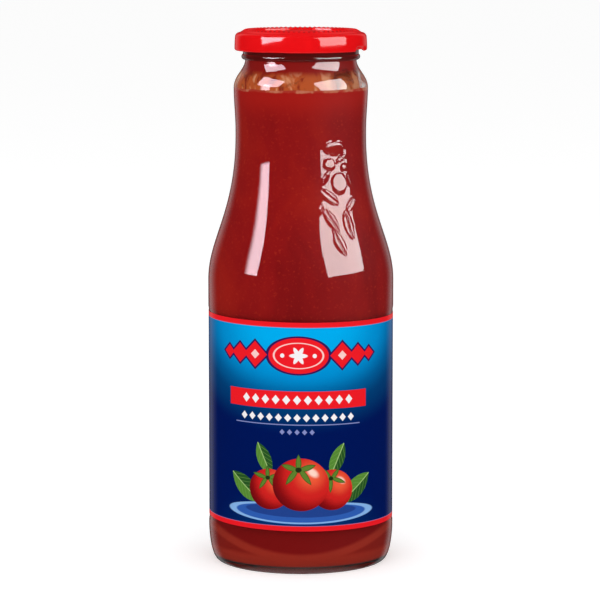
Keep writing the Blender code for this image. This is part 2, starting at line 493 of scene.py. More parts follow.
def crest(height, half_width, foot_z, steps):
    """The lid's raised ring, from its outer foot over the top to its inner foot."""
    return arc((CREST_R, foot_z), (half_width, height - foot_z), 0, 180, steps)


def lid_profile():
    """The pressed lid's sheet, from its button over the raised ring and skirt, round the curl and back."""
    outer = dome(LID_PANEL_Z + BUTTON_RISE, BUTTON_R, LID_PANEL_Z, 10)
    outer += straight((BUTTON_R - BUTTON_STEP, LID_PANEL_Z), (LID_PANEL_R, LID_PANEL_Z), 6)
    outer += reversed(crest(LID_HIGH, CREST_HALF_WIDTH, LID_PANEL_Z, 14)[7:])
    corner = arc((LID_R - SKIRT_DRAFT - CORNER_R, CORNER_Z), (CORNER_R, CORNER_R), *CORNER_DEG, 10)
    slope_r, slope_z = corner[-1]
    for i in range(1, SLOPE_ROWS):
        share = i / SLOPE_ROWS
        height = LID_HIGH + (slope_z - LID_HIGH) * smooth(share)
        outer.append((CREST_R + (slope_r - CREST_R) * share, height))
    outer += reversed(corner)
    skirt_low = LID_LOW + CURL_R
    skirt_high = outer[-1][1]
    for i in range(SKIRT_ROWS - 1, 0, -1):
        share = i / SKIRT_ROWS
        height = skirt_low + (skirt_high - skirt_low) * share
        outer.append((LID_R - SKIRT_DRAFT * share * share, height))
    curl = arc((LID_R - CURL_R, skirt_low), (CURL_R, CURL_R), 0, CURL_END_DEG, 16)
    under = [(LID_R - LID_WALL, LID_LOW + 2.4 * CURL_R)]
    under.append((LID_R - LID_WALL, CORNER_Z))
    under += arc((LID_R - CORNER_R, CORNER_Z), (CORNER_R - LID_WALL, CORNER_R - LID_WALL), 0, 80, 6)[1:]
    under += crest(LID_HIGH - LID_WALL, CREST_HALF_WIDTH - LID_WALL / 2, LID_PANEL_Z - LID_WALL, 10)
    under.append((LID_PANEL_R - LID_WALL, LID_PANEL_Z - LID_WALL))
    under += reversed(dome(LID_PANEL_Z + BUTTON_RISE - LID_WALL, BUTTON_R, LID_PANEL_Z - LID_WALL, 5))
    return outer + curl + under


def make_lid(material):
    """The pressed and lacquered twist-off lid."""
    pitch = 360.0 / LUG_COUNT

    def press(azimuth, radius, height, _index):
        column = round(azimuth / math.tau * TICKS * TICK_COLUMNS)
        if height > TICK_LOW and radius > LID_PANEL_R and column % TICK_COLUMNS > 1:
            height -= TICK_DEEP * min(1.0, (height - TICK_LOW) / TICK_DEEP)
        depth = (LUG_FADE_Z - height) / (LUG_FADE_Z - LID_LOW)
        if depth <= 0.0 or radius < FINISH_R:
            return radius, height
        turn = math.degrees(azimuth) - LUG_DEG + pitch / 2
        offset = turn % pitch - pitch / 2
        amount = smooth(depth * LUG_STEEP_UP)
        amount *= smooth((1.0 - abs(offset) / LUG_HALF_DEG) * LUG_STEEP_ROUND)
        amount *= LUG_SHARES[int(turn // pitch) % LUG_COUNT]
        return radius - LUG_PUSH_IN * amount, height + LUG_LIFT * amount

    item = turned("lid_shell", list(reversed(lid_profile())), even_turn(TICKS * TICK_COLUMNS), press)
    return finish_piece(item, material, "lid")


# The label: a paper wrap, a touch askew, whose ends overlap at the back
PAPER = 0.10 * MM
LABEL_TILT = 0.012
OVERLAP_DEG = 14.0
OVERLAP_RISE = 0.45
LABEL_COLUMNS = 300
LABEL_ROWS = 24


def make_label(material):
    """The printed wrap, one thin closed strip that laps over its own end."""
    verts, faces = [], []
    sweep = math.tau + math.radians(OVERLAP_DEG)
    start = -math.pi - math.radians(OVERLAP_DEG / 2)
    outer_r = LABEL_R - PAPER
    lap = 2 * math.radians(OVERLAP_DEG) / sweep
    for side in (0, 1):
        for column in range(LABEL_COLUMNS + 1):
            share = column / LABEL_COLUMNS
            azimuth = start + sweep * share
            lift = smooth((share - (1.0 - lap)) / (lap * OVERLAP_RISE))
            radius = outer_r + PAPER * lift - side * PAPER * 0.9
            for row in range(LABEL_ROWS + 1):
                height = LABEL_LOW + (LABEL_HIGH - LABEL_LOW) * row / LABEL_ROWS
                height -= LABEL_TILT * radius * math.sin(azimuth)
                verts.append((radius * math.sin(azimuth), -radius * math.cos(azimuth), height))
    step = LABEL_ROWS + 1
    layer = (LABEL_COLUMNS + 1) * step

    def quad(a, b, c, d):
        faces.append((a, b, c, d))

    for column in range(LABEL_COLUMNS):
        for row in range(LABEL_ROWS):
            a = column * step + row
            quad(a, a + step, a + step + 1, a + 1)
            quad(layer + a + 1, layer + a + step + 1, layer + a + step, layer + a)
        low, high = column * step, column * step + LABEL_ROWS
        quad(layer + low, layer + low + step, low + step, low)
        quad(high, high + step, layer + high + step, layer + high)
    for row in range(LABEL_ROWS):
        last = LABEL_COLUMNS * step + row
        quad(layer + row, row, row + 1, layer + row + 1)
        quad(last, layer + last, layer + last + 1, last + 1)
    item = piece_from("label_wrap", verts, faces)
    return finish_piece(item, material, "label")


def linear(red, green, blue):
    """A scene colour from an sRGB one in 0 to 255."""
    def channel(value):
        value /= 255.0
        return value / 12.92 if value <= 0.04045 else ((value + 0.055) / 1.055) ** 2.4

    return (channel(red), channel(green), channel(blue), 1.0)


class Num:
    """A number in a node tree; arithmetic on it adds Math nodes."""

    def __init__(self, tree, socket):
        self.tree = tree
        self.socket = socket

    def op(self, kind, *others):
        node = self.tree.nodes.new("ShaderNodeMath")
        node.operation = kind
        for slot, value in enumerate((self, *others)):
            if isinstance(value, Num):
                self.tree.links.new(value.socket, node.inputs[slot])
            else:
                node.inputs[slot].default_value = value
        return Num(self.tree, node.outputs[0])

    def __add__(self, other):
        return self.op("ADD", other)

    def __sub__(self, other):
        return self.op("SUBTRACT", other)

    def __mul__(self, other):
        return self.op("MULTIPLY", other)

    def __truediv__(self, other):
        return self.op("DIVIDE", other)

    def __abs__(self):
        return self.op("ABSOLUTE")

    def low(self, other):
        return self.op("MINIMUM", other)

    def high(self, other):
        return self.op("MAXIMUM", other)

    def hypot(self, other):
        return (self * self + other * other).op("SQRT")

    def ramp(self, start, end, first=0.0, last=1.0, kind="SMOOTHSTEP"):
        node = self.tree.nodes.new("ShaderNodeMapRange")
        node.interpolation_type = kind
        self.tree.links.new(self.socket, node.inputs["Value"])
        for name, value in zip(("From Min", "From Max", "To Min", "To Max"), (start, end, first, last)):
            node.inputs[name].default_value = value
        return Num(self.tree, node.outputs["Result"])


class Paint:
    """A colour in a node tree that further colours are laid over."""

    def __init__(self, tree, colour):
        self.tree = tree
        self.colour = colour
        self.socket = None

    def over(self, colour, amount):
        """Lays a colour, or another Paint, over this one by an amount that runs from 0 to 1."""
        node = self.tree.nodes.new("ShaderNodeMix")
        node.data_type = "RGBA"
        below, above = node.inputs[6], node.inputs[7]
        if self.socket is None:
            below.default_value = self.colour
        else:
            self.tree.links.new(self.socket, below)
        if isinstance(colour, Paint):
            self.tree.links.new(colour.socket, above)
        else:
            above.default_value = colour
        self.tree.links.new(amount.socket, node.inputs["Factor"])
        self.socket = node.outputs[2]


def new_material(name, colour, values):
    """A Principled material, its tree and its shader node."""
    material = bpy.data.materials.new(name)
    material.use_nodes = True
    tree = material.node_tree
    shader = tree.nodes["Principled BSDF"]
    shader.inputs["Base Color"].default_value = colour
    for key, value in values.items():
        shader.inputs[key].default_value = value
    return material, tree, shader


def place_coordinates(tree):
    """x, y and z in millimetres in the part's own frame."""
    coords = tree.nodes.new("ShaderNodeTexCoord")
    split = tree.nodes.new("ShaderNodeSeparateXYZ")
    tree.links.new(coords.outputs["Object"], split.inputs[0])
    return [Num(tree, output) * (1.0 / MM) for output in split.outputs]


def noise_value(tree, scale, detail=2.0, stretch=(1.0, 1.0, 1.0), distortion=0.0):
    """Noise between 0 and 1 in the part's own frame."""
    coords = tree.nodes.new("ShaderNodeTexCoord")
    mapping = tree.nodes.new("ShaderNodeMapping")
    mapping.inputs["Scale"].default_value = stretch
    texture = tree.nodes.new("ShaderNodeTexNoise")
    texture.inputs["Scale"].default_value = scale
    texture.inputs["Detail"].default_value = detail
    texture.inputs["Distortion"].default_value = distortion
    tree.links.new(coords.outputs["Object"], mapping.inputs[0])
    tree.links.new(mapping.outputs[0], texture.inputs["Vector"])
    return Num(tree, texture.outputs["Fac"])


def add_bump(tree, shader, height, distance, strength=1.0):
    """Bump from a height between 0 and 1."""
    bump = tree.nodes.new("ShaderNodeBump")
    bump.inputs["Distance"].default_value = distance
    bump.inputs["Strength"].default_value = strength
    tree.links.new(height.socket, bump.inputs["Height"])
    tree.links.new(bump.outputs[0], shader.inputs["Normal"])


def glass_material():
    """Clear glass with a breath of green, which lets the lights through to what it holds."""
    material, tree, shader = new_material("clear_glass", linear(247, 252, 250), {
        "Roughness": 0.015,
        "IOR": 1.5,
        "Transmission Weight": 1.0,
    })
    rays = tree.nodes.new("ShaderNodeLightPath")
    lit = Num(tree, rays.outputs["Is Shadow Ray"]).high(Num(tree, rays.outputs["Is Diffuse Ray"]))
    clear = tree.nodes.new("ShaderNodeBsdfTransparent")
    clear.inputs["Color"].default_value = (0.96, 0.98, 0.97, 1.0)
    mix = tree.nodes.new("ShaderNodeMixShader")
    output = tree.nodes["Material Output"]
    tree.links.new(lit.socket, mix.inputs[0])
    tree.links.new(shader.outputs[0], mix.inputs[1])
    tree.links.new(clear.outputs[0], mix.inputs[2])
    tree.links.new(mix.outputs[0], output.inputs["Surface"])
    return material


# The passata's zones, by the heights in millimetres at which each begins and is full. Under the label
# they are painted shade, a band of painted light and painted shade towards the sides, and the grey
# foot is a painted reflection in the glass's base.
NEAR_LEVEL = (190.0, 203.0)
LEVEL_LINE = (204.7, 205.3)
LEVEL_NOISE_RISE = 1.6
UNDER_LABEL_SHADE = (27.0, 19.0)
LIGHT_FROM_BELOW_ZONE = (10.0, 7.8)
SIDE_SHADE_ZONE = (6.2, 4.6)
SIDE_SHADE_FLOOR = (6.6, 9.2)
SIDE_RISE = 10.0
GREY_FOOT_REFLECTION = (3.8, 2.9)


def passata_material():
    """Thick tomato puree against glass: deep red, mottled, paler at its level.

    Under the label lie painted shade, a band of painted light and painted shade towards the sides.
    The edges of the last two rise towards the sides. At the foot lies a painted grey reflection.
    """
    material, tree, shader = new_material("tomato_passata", linear(150, 26, 20), {
        "Roughness": 0.5,
        "IOR": 1.1,
    })
    x, y, height = place_coordinates(tree)
    sideways = (x / x.hypot(y)).op("POWER", 2.0)
    cloud = noise_value(tree, 45.0, 3.0, (1.0, 1.0, 0.5), 0.6)
    pulp = noise_value(tree, 900.0, 4.0)
    paint = Paint(tree, linear(142, 16, 17))
    paint.over(linear(156, 24, 17), cloud.ramp(0.48, 0.7))
    paint.over(linear(128, 12, 15), cloud.ramp(0.5, 0.3))
    paint.over(linear(184, 48, 28), pulp.ramp(0.56, 0.74, 0.0, 0.4))
    paint.over(linear(168, 24, 18), height.ramp(*NEAR_LEVEL, 0.0, 0.9))
    # Painted light and shade stand in for light that the glass bends and carries up through the base;
    # their edges rise towards the sides.
    light_zone_height = height - sideways * SIDE_RISE
    side_shade = light_zone_height.ramp(*SIDE_SHADE_ZONE) * height.ramp(*SIDE_SHADE_FLOOR, 0.0, 0.85)
    # Painted shade under the label, a band of painted light below it, then painted shade towards the
    # sides.
    paint.over(linear(124, 13, 13), height.ramp(*UNDER_LABEL_SHADE))
    paint.over(linear(154, 43, 30), light_zone_height.ramp(*LIGHT_FROM_BELOW_ZONE))
    paint.over(linear(128, 22, 16), side_shade)
    # Painted reflection: dark grey at the very foot, standing in for light mirrored inside the thick glass
    # base.
    paint.over(linear(54, 50, 50), height.ramp(*GREY_FOOT_REFLECTION))
    # A paler uneven line painted along the level.
    level_noise = noise_value(tree, 260.0, 3.0)
    level = (height + level_noise * LEVEL_NOISE_RISE).ramp(*LEVEL_LINE)
    paint.over(linear(196, 118, 90), level * level_noise.ramp(0.42, 0.6, 0.15, 0.9))
    tree.links.new(paint.socket, shader.inputs["Base Color"])
    return material


# The smear's zones: heights in millimetres, and azimuths in radians for the stretch where it is thin
SMEAR_REDDENS = (209.5, 213.0)
SMEAR_DARKENS = (216.4, 218.0)
SMEAR_CLOSES = (212.0, 214.5)
BARE_BEGINS = (0.35, 0.75)
BARE_ENDS = (1.6, 1.3)
BARE_BELOW = (214.0, 210.5)


def smear_material():
    """The dried and wet film of passata above its level: thick and dark high up, thin and orange low."""
    material, tree, shader = new_material("tomato_smear", linear(178, 80, 44), {
        "Roughness": 0.45,
        "IOR": 1.1,
    })
    x, y, height = place_coordinates(tree)
    streaks = noise_value(tree, 130.0, 4.0, (1.0, 1.0, 0.55), 1.2)
    spots = noise_value(tree, 420.0, 3.0)
    azimuth = x.op("ARCTAN2", y * -1.0)
    paint = Paint(tree, linear(184, 82, 40))
    paint.over(linear(214, 142, 102), streaks.ramp(0.55, 0.64, 0.0, 0.9))
    paint.over(linear(138, 40, 24), streaks.ramp(0.46, 0.38, 0.0, 0.9))
    paint.over(linear(120, 60, 34), spots.ramp(0.56, 0.68, 0.0, 0.6))
    paint.over(linear(148, 24, 20), height.ramp(*SMEAR_REDDENS))
    paint.over(linear(96, 14, 12), height.ramp(*SMEAR_DARKENS))
    tree.links.new(paint.socket, shader.inputs["Base Color"])
    film = streaks.ramp(0.30, 0.46, 0.86, 1.0) + spots.ramp(0.5, 0.7, 0.0, 0.2)
    bare = azimuth.ramp(*BARE_BEGINS) * azimuth.ramp(*BARE_ENDS) * height.ramp(*BARE_BELOW)
    cover = film - bare * streaks.ramp(0.6, 0.4, 0.35, 0.8)
    cover = cover.high(height.ramp(*SMEAR_CLOSES)).ramp(0.0, 1.0, 0.0, 1.0, "LINEAR")
    tree.links.new(cover.socket, shader.inputs["Alpha"])
    return material


# The painted shade in the lid's ring of ticks, as radii and heights in millimetres and shares of a tick's
# turn
TICK_RING_INNER = (22.5, 22.7)
TICK_RING_OUTER = (24.3, 24.1)
TICK_RING_LOW = (229.0, 229.3)
TICK_TURN = 1.125
TICK_BEGINS = (0.55, 0.65)
TICK_ENDS = (0.98, 0.90)


def lacquer_material():
    """Glossy red lacquer with a fine unevenness, and painted shade between the pressed ticks."""
    material, tree, shader = new_material("red_lacquer", linear(232, 20, 25), {
        "Roughness": 0.4,
        "IOR": 1.45,
        "Specular IOR Level": 0.0,
        "Coat Weight": 0.6,
        "Coat Roughness": 0.07,
    })
    x, y, height = place_coordinates(tree)
    radius = x.hypot(y)
    azimuth = x.op("ARCTAN2", y * -1.0)
    tick = (azimuth * (TICKS / math.tau) + TICK_TURN).op("FRACT")
    ring = radius.ramp(*TICK_RING_INNER) * radius.ramp(*TICK_RING_OUTER) * height.ramp(*TICK_RING_LOW)
    # Painted shade where the ticks are pressed in.
    tick_shade = tick.ramp(*TICK_BEGINS) * tick.ramp(*TICK_ENDS) * ring
    paint = Paint(tree, linear(229, 15, 20))
    paint.over(linear(216, 12, 17), noise_value(tree, 160.0, 3.0).ramp(0.4, 0.8, 0.0, 0.5))
    paint.over(linear(120, 10, 14), tick_shade)
    tree.links.new(paint.socket, shader.inputs["Base Color"])
    add_bump(tree, shader, noise_value(tree, 500.0, 2.0), 0.00002)
    return material


# The print, in millimetres: across is measured round the label from its front, up from the foot
BAND = 2.1
PRINT_EDGE = 0.18
GLOW_UP = 108.0
GLOW_STRETCH = 1.75
LOW_GLOW_UP = 22.0
LOW_GLOW_HALVES = (46.0, 17.0)
ORNAMENT = (-1.0, 94.5)
ORNAMENT_HALVES = (13.0, 7.6)
ORNAMENT_RIM = (10.6, 5.4)
ORNAMENT_OUTLINE = 0.75
PETAL_HALVES = (3.9, 1.05)
DOT_OUT, DOT_R = 6.9, 0.9
SIDE_LOZENGES = ((19.2, 5.6, 5.6), (27.0, 4.4, 4.2), (33.2, 3.0, 2.8))
INNER_LOZENGE = 2.0
BANNER_MIDDLE = -1.6
BANNER_HALF = 32.1
BANNER_LOW, BANNER_HIGH = 71.9, 79.3
RULE_UP = 65.0
RULE_HALVES = (28.6, 0.2)
DISH = (0.0, 27.2)
DISH_HALVES = (33.0, 4.9)
DISH_RIM_HALVES = (32.4, 4.4)
DISH_WELL = (0.0, 28.2)
DISH_WELL_HALVES = (25.0, 2.9)
PANEL_OUT, PANEL_UP = 93.0, 62.0
PANEL_HALVES = (17.5, 33.0)
PANEL_HEAD_UP = 29.6
PANEL_HEAD_HALF = 3.4
PANEL_TABLE_UP = -4.0
PANEL_TABLE_HALVES = (15.2, 27.0)
PANEL_ROW_FIRST = 30.0
PANEL_ROW = 5.2
PANEL_COLUMN = 5.0
NAVY = linear(0, 21, 86)
SKY = linear(0, 178, 244)
RED = linear(237, 28, 38)
OUTLINE = linear(50, 24, 84)
WHITE = linear(244, 240, 242)
LILAC = linear(132, 140, 196)
PALE_PINK = linear(250, 205, 200)

# The light glow on the blue: colour, the distances at which it begins and is full, and its most
GLOW_STEPS = (
    (linear(1, 60, 114), 48.0, 35.0, 1.0),
    (linear(0, 96, 156), 37.0, 28.0, 1.0),
    (linear(0, 138, 204), 31.0, 22.0, 1.0),
    (SKY, 25.0, 9.0, 0.78),
)


class Sheet:
    """The flat plane of the print: where a point lies, and the shapes drawn there."""

    def __init__(self, tree):
        self.tree = tree
        x, y, z = place_coordinates(tree)
        self.across = x.op("ARCTAN2", y * -1.0) * (LABEL_R / MM)
        self.up = z + x * LABEL_TILT

    def turned(self, centre, lean_deg):
        """Coordinates along and beside a direction through a centre."""
        lean = math.radians(lean_deg)
        dx, dy = self.across - centre[0], self.up - centre[1]
        along = dx * math.cos(lean) + dy * math.sin(lean)
        beside = dy * math.cos(lean) - dx * math.sin(lean)
        return along, beside

    def oval(self, centre, halves, lean_deg=0.0):
        """Signed distance to an ellipse, negative inside."""
        along, beside = self.across - centre[0], self.up - centre[1]
        if lean_deg:
            along, beside = self.turned(centre, lean_deg)
        reach = (along / halves[0]).hypot(beside / halves[1])
        return (reach - 1.0) * min(halves)

    def box(self, centre, halves):
        """Signed distance to a rectangle."""
        return (abs(self.across - centre[0]) - halves[0]).high(abs(self.up - centre[1]) - halves[1])

    def lozenge(self, centre, halves):
        """Signed distance to a lozenge."""
        reach = abs(self.across - centre[0]) / halves[0] + abs(self.up - centre[1]) / halves[1]
        return (reach - 1.0) * (min(halves) * 0.7)

    def lozenge_row(self, middle, up, halves, pitch, count):
        """Signed distance to a row of lozenges at an even pitch."""
        across = self.across - middle + pitch * count / 2
        cell = abs((across / pitch).op("FRACT") - 0.5) * pitch
        reach = cell / halves[0] + abs(self.up - up) / halves[1]
        ends = abs(self.across - middle) - pitch * count / 2
        return ((reach - 1.0) * (min(halves) * 0.7)).high(ends)

    def leaf(self, centre, length, width, lean_deg):
        """Signed distance to a pointed leaf, the overlap of two discs, and the place beside its rib."""
        along, beside = self.turned(centre, lean_deg)
        half, side = length / 2, width / 2
        radius = (half * half + side * side) / (2 * side)
        shift = radius - side
        disc = along.hypot(abs(beside) + shift) - radius
        return disc, along, beside


def inside(distance, grow=0.0):
    """1 inside a shape and 0 outside, with a printed edge. grow moves the edge out."""
    return distance.ramp(grow + PRINT_EDGE / 2, grow - PRINT_EDGE / 2)


def print_ground(sheet):
    """The blue field: a light glow at its top centre that falls to navy, and a faint glow low down."""
    paint = Paint(sheet.tree, NAVY)
    glow = (sheet.across / GLOW_STRETCH).hypot(sheet.up - GLOW_UP)
    for colour, begins, full, most in GLOW_STEPS:
        paint.over(colour, glow.ramp(begins, full, 0.0, most))
    half_across, half_up = LOW_GLOW_HALVES
    low_glow = (sheet.across / half_across).hypot((sheet.up - LOW_GLOW_UP) / half_up)
    paint.over(linear(4, 56, 112), low_glow.ramp(1.0, 0.1, 0.0, 0.75))
    return paint


def print_ornament(sheet, paint):
    """A plain ornament: an oval with side pieces that shrink outwards, red with a dark outline."""
    middle, up = ORNAMENT
    shape = sheet.oval(ORNAMENT, ORNAMENT_HALVES)
    for out, half_across, half_up in SIDE_LOZENGES:
        for way in (-1, 1):
            shape = shape.low(sheet.lozenge((middle + way * out, up), (half_across, half_up)))
    paint.over(OUTLINE, inside(shape, ORNAMENT_OUTLINE))
    paint.over(RED, inside(shape))
    paint.over(PALE_PINK, inside(abs(sheet.oval(ORNAMENT, ORNAMENT_RIM)), 0.2))
    petals = sheet.oval(ORNAMENT, PETAL_HALVES)
    for lean in (60, 120):
        petals = petals.low(sheet.oval(ORNAMENT, PETAL_HALVES, lean))
    paint.over(WHITE, inside(petals))
    for way in (-1, 1):
        dot = (middle + way * DOT_OUT, up)
        paint.over(WHITE, inside(sheet.oval(dot, (DOT_R, DOT_R))))
        hollow = (middle + way * SIDE_LOZENGES[0][0], up)
        paint.over(PALE_PINK, inside(sheet.lozenge(hollow, (INNER_LOZENGE, INNER_LOZENGE))))


def print_banner(sheet, paint):
    """The red banner with a row of lozenges, and under it a second row, a thin rule and a short row."""
    middle_up = (BANNER_LOW + BANNER_HIGH) / 2
    half_up = (BANNER_HIGH - BANNER_LOW) / 2
    paint.over(RED, inside(sheet.box((BANNER_MIDDLE, middle_up), (BANNER_HALF, half_up))))
    paint.over(WHITE, inside(sheet.lozenge_row(BANNER_MIDDLE, middle_up, (1.7, 2.0), 4.6, 11)))
    paint.over(WHITE, inside(sheet.lozenge_row(BANNER_MIDDLE, 68.0, (1.5, 1.7), 4.0, 13)))
    paint.over(LILAC, inside(sheet.box((BANNER_MIDDLE, RULE_UP), RULE_HALVES)))
    paint.over(LILAC, inside(sheet.lozenge_row(BANNER_MIDDLE, 61.9, (1.1, 1.2), 3.2, 5)))


def print_tomato(sheet, paint, centre, size, stalk_lean):
    """One round tomato with a star of green sepals."""
    disc = sheet.oval(centre, (size, size * 0.93))
    shade = Paint(sheet.tree, linear(206, 34, 32))
    lit = (sheet.across - centre[0] - size * 0.34).hypot(sheet.up - centre[1] - size * 0.34) / size
    shade.over(linear(240, 92, 58), lit.ramp(0.75, 0.1))
    shade.over(linear(140, 14, 18), lit.ramp(0.75, 1.25))
    shade.over(linear(92, 10, 18), lit.ramp(1.1, 1.55))
    spark = sheet.oval((centre[0] + size * 0.42, centre[1] + size * 0.42), (size * 0.2, size * 0.12), -35)
    shade.over(linear(255, 214, 196), spark.ramp(size * 0.06, -size * 0.06))
    paint.over(shade, inside(disc))
    hub = (centre[0] - size * 0.08, centre[1] + size * 0.52)
    star = None
    for i in range(5):
        lean = stalk_lean + 72 * i
        tip = math.radians(lean)
        reach = size * (0.30 if math.sin(tip) > 0.3 else 0.36)
        leaf_centre = (hub[0] + reach * math.cos(tip), hub[1] + reach * 0.72 * math.sin(tip))
        petal = sheet.leaf(leaf_centre, reach * 2.2, size * 0.2, lean)[0]
        star = petal if star is None else star.low(petal)
    green = Paint(sheet.tree, linear(92, 128, 46))
    green.over(linear(44, 74, 28), star.ramp(-0.5, 0.1))
    paint.over(green, inside(star, 0.05))
    paint.over(linear(32, 48, 22), inside(sheet.oval(hub, (size * 0.11, size * 0.09))))


def print_leaf(sheet, paint, centre, length, width, lean):
    """One green leaf with a pale rib and a darker half."""
    edge, along, beside = sheet.leaf(centre, length, width, lean)
    green = Paint(sheet.tree, linear(86, 136, 52))
    green.over(linear(40, 84, 36), beside.ramp(0.4, -0.6))
    veins = abs((along * 0.42 + abs(beside) * 0.55).op("FRACT") - 0.5)
    green.over(linear(120, 168, 84), veins.ramp(0.1, 0.02, 0.0, 0.6))
    green.over(linear(160, 196, 120), abs(beside).ramp(0.28, 0.1))
    paint.over(green, inside(edge))


def print_picture(sheet, paint):
    """Three tomatoes between leaves on a pale blue dish, in plain shapes."""
    paint.over(linear(46, 92, 176), inside(sheet.oval(DISH, DISH_HALVES)))
    paint.over(linear(132, 178, 230), inside(abs(sheet.oval(DISH, DISH_RIM_HALVES)), 0.3))
    paint.over(linear(34, 66, 140), inside(sheet.oval(DISH_WELL, DISH_WELL_HALVES)))
    for way in (-1, 1):
        print_leaf(sheet, paint, (way * 25.0, 37.0), 19.0, 8.4, 90 - way * 52)
        print_leaf(sheet, paint, (way * 16.0, 50.0), 15.0, 6.4, 90 - way * 24)
    print_tomato(sheet, paint, (-13.6, 37.0), 9.4, 20)
    print_tomato(sheet, paint, (13.8, 37.0), 9.4, 52)
    print_tomato(sheet, paint, (0.0, 39.4), 12.2, 90)


def print_side_panels(sheet, paint):
    """Two pale panels towards the back, ruled like a table, with nothing written in them."""
    for way in (-1, 1):
        middle = way * PANEL_OUT
        head = sheet.box((middle, PANEL_UP + PANEL_HEAD_UP), (PANEL_HALVES[0], PANEL_HEAD_HALF))
        table = sheet.box((middle, PANEL_UP + PANEL_TABLE_UP), PANEL_TABLE_HALVES)
        rows = abs(((sheet.up - PANEL_ROW_FIRST) / PANEL_ROW).op("FRACT") - 0.5) * PANEL_ROW
        column = abs(sheet.across - middle - PANEL_COLUMN)
        paint.over(linear(226, 232, 240), inside(sheet.box((middle, PANEL_UP), PANEL_HALVES)))
        paint.over(RED, inside(head))
        paint.over(NAVY, inside(rows, 0.14) * inside(table))
        paint.over(NAVY, inside(column, 0.14) * inside(table))
        paint.over(NAVY, inside(abs(table), 0.16))


def label_material():
    """Coated paper printed in fields of colour and simple shapes."""
    material, tree, shader = new_material("printed_paper", NAVY, {
        "Roughness": 0.6,
        "Specular IOR Level": 0.0,
        "Coat Weight": 0.45,
        "Coat Roughness": 0.04,
    })
    sheet = Sheet(tree)
    paint = print_ground(sheet)
    print_ornament(sheet, paint)
    print_banner(sheet, paint)
    print_picture(sheet, paint)
    print_side_panels(sheet, paint)
    low, high = LABEL_LOW / MM, LABEL_HIGH / MM
    band = (sheet.up - (low + BAND)).low((sheet.up * -1.0) + (high - BAND))
    paint.over(linear(150, 120, 170), band.ramp(0.25, 0.1))
    paint.over(RED, band.ramp(0.1, -0.1))
    tree.links.new(paint.socket, shader.inputs["Base Color"])
    add_bump(tree, shader, noise_value(tree, 500.0, 4.0), 0.00003, 0.5)
    return material


# The camera, fitted to the photo: where it stands, and the column in which the bottle's axis lies
CAMERA_BACK = 1.30
CAMERA_UP = 0.285
AIM_UP = 0.113
AXIS_COLUMN = 300.8
FRAME_PIXELS = 600.0
LENS_PIXELS = 3030.0
SENSOR_MM = 36.0
CLIP_START = 0.05


def make_camera():
    """The photograph's view: a little above the lid and tilted slightly down."""
    data = bpy.data.cameras.new("camera")
    data.sensor_width = SENSOR_MM
    data.lens = LENS_PIXELS / FRAME_PIXELS * SENSOR_MM
    data.clip_start = CLIP_START
    camera = bpy.data.objects.new("camera", data)
    bpy.context.scene.collection.objects.link(camera)
    aside = (FRAME_PIXELS / 2 - AXIS_COLUMN) / LENS_PIXELS * CAMERA_BACK
    camera.location = (aside, -CAMERA_BACK, CAMERA_UP)
    aim = Vector((aside, 0.0, AIM_UP)) - camera.location
    camera.rotation_euler = aim.to_track_quat("-Z", "Y").to_euler()
    bpy.context.scene.camera = camera


# The lights: how far they stand from the point of the axis that they face, and their strengths
STUDIO_REACH = 0.82
STUDIO_MIDDLE_Z = 0.17
NECK_CARD_REACH = 0.17
NECK_CARD_MIDDLE_Z = 0.21
KEY_REACH = 1.6
KEY_RADIANCE = 1.35
LID_CARD_LEAN = 8.0
CRISP = (0.02, 0.02, 0.02, 0.02)
STRIP_SOFT = (0.45, 0.05, 0.04, 0.3)
PINK = (1.0, 0.84, 0.93)


def make_light(name, azimuths, lifts, radiance, reach=STUDIO_REACH, middle_z=STUDIO_MIDDLE_Z,
               lean_deg=0.0, soft=CRISP):
    """A flat softbox that fills a range of azimuth and of elevation in degrees, seen from the axis.

    soft is the share of it that fades at its low-azimuth, high-azimuth, lower and upper edges.
    """
    middle = Vector((0.0, 0.0, middle_z))
    turn = math.radians(sum(azimuths) / 2)
    lift = math.radians(sum(lifts) / 2)
    direction = Vector((math.sin(turn) * math.cos(lift), -math.cos(turn) * math.cos(lift), math.sin(lift)))
    data = bpy.data.lights.new(name, "AREA")
    data.shape = "RECTANGLE"
    data.size = 2 * reach * math.tan(math.radians((azimuths[1] - azimuths[0]) / 2)) * math.cos(lift)
    data.size_y = 2 * reach * math.tan(math.radians((lifts[1] - lifts[0]) / 2))
    data.energy = radiance * math.pi * data.size * data.size_y
    data.use_nodes = True
    tree = data.node_tree
    place = tree.nodes.new("ShaderNodeNewGeometry")
    split = tree.nodes.new("ShaderNodeSeparateXYZ")
    tree.links.new(place.outputs["Parametric"], split.inputs[0])
    along, up = Num(tree, split.outputs[0]), Num(tree, split.outputs[1])
    fade = along.ramp(0.0, soft[0]) * along.ramp(1.0, 1.0 - soft[1])
    fade = fade * up.ramp(0.0, soft[2]) * up.ramp(1.0, 1.0 - soft[3])
    tree.links.new(fade.socket, tree.nodes["Emission"].inputs["Strength"])
    light = bpy.data.objects.new(name, data)
    light.location = middle + direction * reach
    light.rotation_euler = (-direction).to_track_quat("-Z", "Y").to_euler()
    light.rotation_euler.rotate_axis("Z", math.radians(lean_deg))
    bpy.context.scene.collection.objects.link(light)
    return light


def only_on(light, piece):
    """Lets a light shine on one piece and no other."""
    group = bpy.data.collections.new(light.name + "_on")
    group.objects.link(piece)
    light.light_linking.receiver_collection = group


